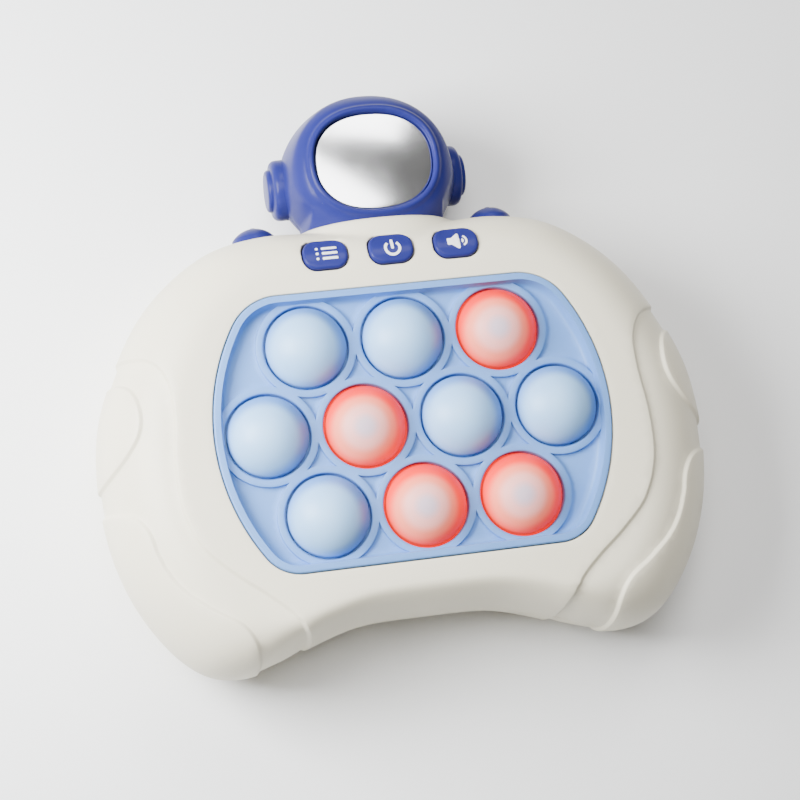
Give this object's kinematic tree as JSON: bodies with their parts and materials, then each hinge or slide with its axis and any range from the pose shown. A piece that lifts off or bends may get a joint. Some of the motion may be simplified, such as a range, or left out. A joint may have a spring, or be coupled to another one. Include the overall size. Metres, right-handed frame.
{
  "type": "electronic bubble pop game",
  "caption": "Handheld bubble pop game: cream controller-shaped body with wave grips, light-blue silicone bubble panel, blue function buttons and a blue helmet with a mirrored visor on top.",
  "frame": {"origin": "on the flat back face, under the middle of the bubble panel", "axes": "+X to the right grip seen from the front, +Y from the panel up to the helmet, +Z out of the front face"},
  "size_m": [0.1734, 0.1634, 0.0496],
  "materials": {
    "cream_plastic": "satin cream moulded plastic",
    "blue_silicone": "translucent light-blue silicone",
    "lit_silicone": "silicone lit red from below",
    "royal_blue_plastic": "satin-gloss royal blue plastic",
    "visor_mirror": "mirror-coated plastic",
    "white_plastic": "white moulded plastic",
    "board": "green circuit board",
    "bright_metal": "bright steel",
    "dark_cone": "black paper cone",
    "cell_sleeve": "plain printed sleeve"
  },
  "bodies": {
    "base": {"front_housing": "cream_plastic", "rear_housing": "cream_plastic", "bubble_panel": "blue_silicone", "light_frame": "white_plastic", "main_board": "board", "helmet_front": "royal_blue_plastic", "helmet_back": "royal_blue_plastic", "visor_mirror": "visor_mirror", "ear_pod_left": "royal_blue_plastic", "ear_pod_right": "royal_blue_plastic", "shoulder_dome_left": "royal_blue_plastic", "shoulder_dome_right": "royal_blue_plastic", "speaker_frame": "bright_metal", "speaker_cone": "dark_cone", "speaker_magnet": "bright_metal", "battery_1": "cell_sleeve", "battery_2": "cell_sleeve", "battery_3": "cell_sleeve", "contact_minus": "bright_metal", "contact_link_1": "bright_metal", "contact_link_2": "bright_metal", "contact_plus": "bright_metal", "housing_screw_1": "bright_metal", "housing_screw_2": "bright_metal", "housing_screw_3": "bright_metal", "housing_screw_4": "bright_metal", "housing_screw_5": "bright_metal", "housing_screw_6": "bright_metal", "board_screw_1": "bright_metal", "board_screw_2": "bright_metal", "board_screw_3": "bright_metal", "board_screw_4": "bright_metal"},
    "press_01": {"bubble_01": "blue_silicone", "press_rod_01": "white_plastic"},
    "press_02": {"bubble_02": "blue_silicone", "press_rod_02": "white_plastic"},
    "press_03": {"bubble_03": "lit_silicone", "press_rod_03": "white_plastic"},
    "press_04": {"bubble_04": "blue_silicone", "press_rod_04": "white_plastic"},
    "press_05": {"bubble_05": "lit_silicone", "press_rod_05": "white_plastic"},
    "press_06": {"bubble_06": "blue_silicone", "press_rod_06": "white_plastic"},
    "press_07": {"bubble_07": "blue_silicone", "press_rod_07": "white_plastic"},
    "press_08": {"bubble_08": "blue_silicone", "press_rod_08": "white_plastic"},
    "press_09": {"bubble_09": "lit_silicone", "press_rod_09": "white_plastic"},
    "press_10": {"bubble_10": "lit_silicone", "press_rod_10": "white_plastic"},
    "menu_key": {"menu_button": "royal_blue_plastic"},
    "power_key": {"power_button": "royal_blue_plastic"},
    "volume_key": {"volume_button": "royal_blue_plastic"},
    "door": {"battery_door": "cream_plastic", "battery_door_screw_1": "bright_metal", "battery_door_screw_2": "bright_metal"}
  },
  "joints": [
    {"name": "bubble_01_press", "type": "slide", "parent": "base", "child": "press_01", "axis": [0, 0, -1], "range_m": [0, 0.004], "stiffness_N_per_m": 400},
    {"name": "bubble_02_press", "type": "slide", "parent": "base", "child": "press_02", "axis": [0, 0, -1], "range_m": [0, 0.004], "stiffness_N_per_m": 400},
    {"name": "bubble_03_press", "type": "slide", "parent": "base", "child": "press_03", "axis": [0, 0, -1], "range_m": [0, 0.004], "stiffness_N_per_m": 400},
    {"name": "bubble_04_press", "type": "slide", "parent": "base", "child": "press_04", "axis": [0, 0, -1], "range_m": [0, 0.004], "stiffness_N_per_m": 400},
    {"name": "bubble_05_press", "type": "slide", "parent": "base", "child": "press_05", "axis": [0, 0, -1], "range_m": [0, 0.004], "stiffness_N_per_m": 400},
    {"name": "bubble_06_press", "type": "slide", "parent": "base", "child": "press_06", "axis": [0, 0, -1], "range_m": [0, 0.004], "stiffness_N_per_m": 400},
    {"name": "bubble_07_press", "type": "slide", "parent": "base", "child": "press_07", "axis": [0, 0, -1], "range_m": [0, 0.004], "stiffness_N_per_m": 400},
    {"name": "bubble_08_press", "type": "slide", "parent": "base", "child": "press_08", "axis": [0, 0, -1], "range_m": [0, 0.004], "stiffness_N_per_m": 400},
    {"name": "bubble_09_press", "type": "slide", "parent": "base", "child": "press_09", "axis": [0, 0, -1], "range_m": [0, 0.004], "stiffness_N_per_m": 400},
    {"name": "bubble_10_press", "type": "slide", "parent": "base", "child": "press_10", "axis": [0, 0, -1], "range_m": [0, 0.004], "stiffness_N_per_m": 400},
    {"name": "menu_button_press", "type": "slide", "parent": "base", "child": "menu_key", "axis": [0, 0, -1], "range_m": [0, 0.001], "stiffness_N_per_m": 1000},
    {"name": "power_button_press", "type": "slide", "parent": "base", "child": "power_key", "axis": [0, 0, -1], "range_m": [0, 0.001], "stiffness_N_per_m": 1000},
    {"name": "volume_button_press", "type": "slide", "parent": "base", "child": "volume_key", "axis": [0, 0, -1], "range_m": [0, 0.001], "stiffness_N_per_m": 1000},
    {"name": "battery_door_lift", "type": "slide", "parent": "base", "child": "door", "axis": [0, 0, -1], "range_m": [0, 0.012]}
  ]
}
